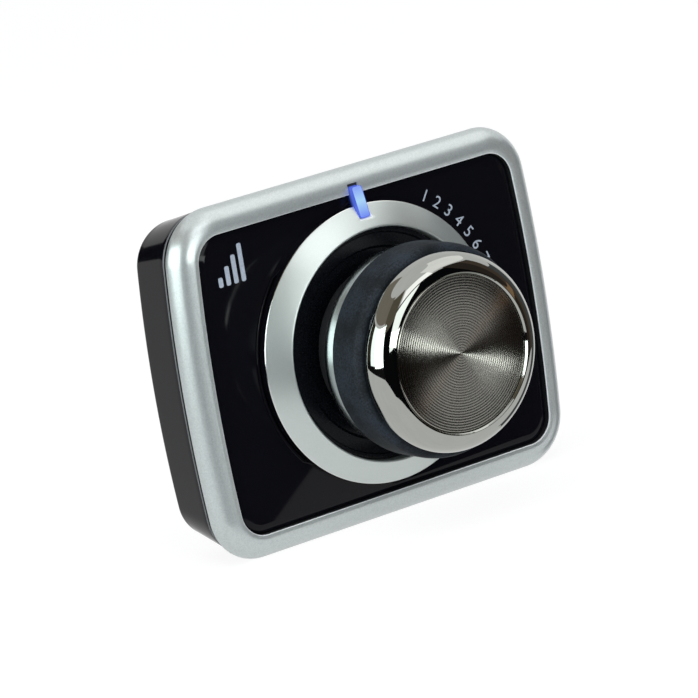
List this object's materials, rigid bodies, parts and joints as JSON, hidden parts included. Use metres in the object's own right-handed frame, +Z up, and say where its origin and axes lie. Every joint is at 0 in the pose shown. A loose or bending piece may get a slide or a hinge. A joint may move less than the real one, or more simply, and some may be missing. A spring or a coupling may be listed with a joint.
{
  "type": "volume controller",
  "caption": "Panel-mounted audio volume controller: tapered black shell, silver bezel with bowed sides, lit bar and a large push-and-turn knob on an endless encoder.",
  "frame": {"origin": "centre of the mounting pad's back face", "axes": "+X to the controller's right as seen from the front, +Y out of its back into the surface that carries it, +Z up toward the light bar; the knob faces -Y"},
  "size_m": [0.0718, 0.0373, 0.0568],
  "materials": {
    "foam": "closed-cell foam with adhesive",
    "gloss_black": "polished black moulding",
    "matt_black": "fine matt moulding",
    "satin_silver": "satin silver paint on a moulded frame",
    "ring_metal": "bead-blasted and anodised, with polished edges",
    "light": "translucent light pipe, lit blue",
    "bright_chrome": "polished plating",
    "black_nickel": "polished dark nickel plating",
    "spun_metal": "spun with fine concentric grooves, dark plating",
    "grip_rubber": "matt moulded rubber",
    "steel": "plated",
    "board": "glass-epoxy board with green resist",
    "chip": "moulded epoxy",
    "led": "clear lens on a white body",
    "socket": "natural nylon",
    "contact": "gold flash",
    "plunger": "moulded"
  },
  "bodies": {
    "housing": {"mounting_pad": "foam", "rear_shell": "gloss_black", "case_screws": "steel", "circuit_board": "board", "board_screws": "steel", "controller_chip": "chip", "board_capacitors": "steel", "board_resistors": "chip", "indicator_led": "led", "lead_socket": "socket", "socket_contacts": "contact", "front_chassis": "matt_black", "bezel_frame": "satin_silver", "face_panel": "gloss_black", "dial_well": "gloss_black", "trim_ring": "ring_metal", "light_pipe": "light", "encoder_base": "matt_black", "encoder_terminals": "steel", "encoder_bushing": "steel", "contact_brush": "contact", "detent_spring": "steel", "encoder_washer": "steel", "encoder_nut": "steel", "switch_dome": "steel"},
    "rotor": {"encoder_rotor": "socket"},
    "knob": {"knob_shaft": "steel", "shaft_clip": "steel", "knob_core": "matt_black", "knob_skirt": "bright_chrome", "grip_sleeve": "grip_rubber", "knob_cap": "black_nickel", "spun_disc": "spun_metal"},
    "plunger": {"switch_plunger": "plunger"}
  },
  "joints": [
    {"name": "knob_turn", "type": "hinge", "parent": "housing", "child": "rotor", "pos_m": [0, -0.02, 0], "axis": [0, -1, 0], "continuous": true},
    {"name": "knob_push", "type": "slide", "parent": "rotor", "child": "knob", "axis": [0, 1, 0], "range_m": [0, 0.0005], "stiffness_N_per_m": 3000, "springref_m": -0.0005},
    {"name": "plunger_press", "type": "slide", "parent": "housing", "child": "plunger", "axis": [0, 1, 0], "range_m": [0, 0.0005], "deforming": ["switch_dome"]}
  ],
  "couplings": [
    {"joint": "plunger_press", "follows": "knob_push", "ratio": 1}
  ]
}
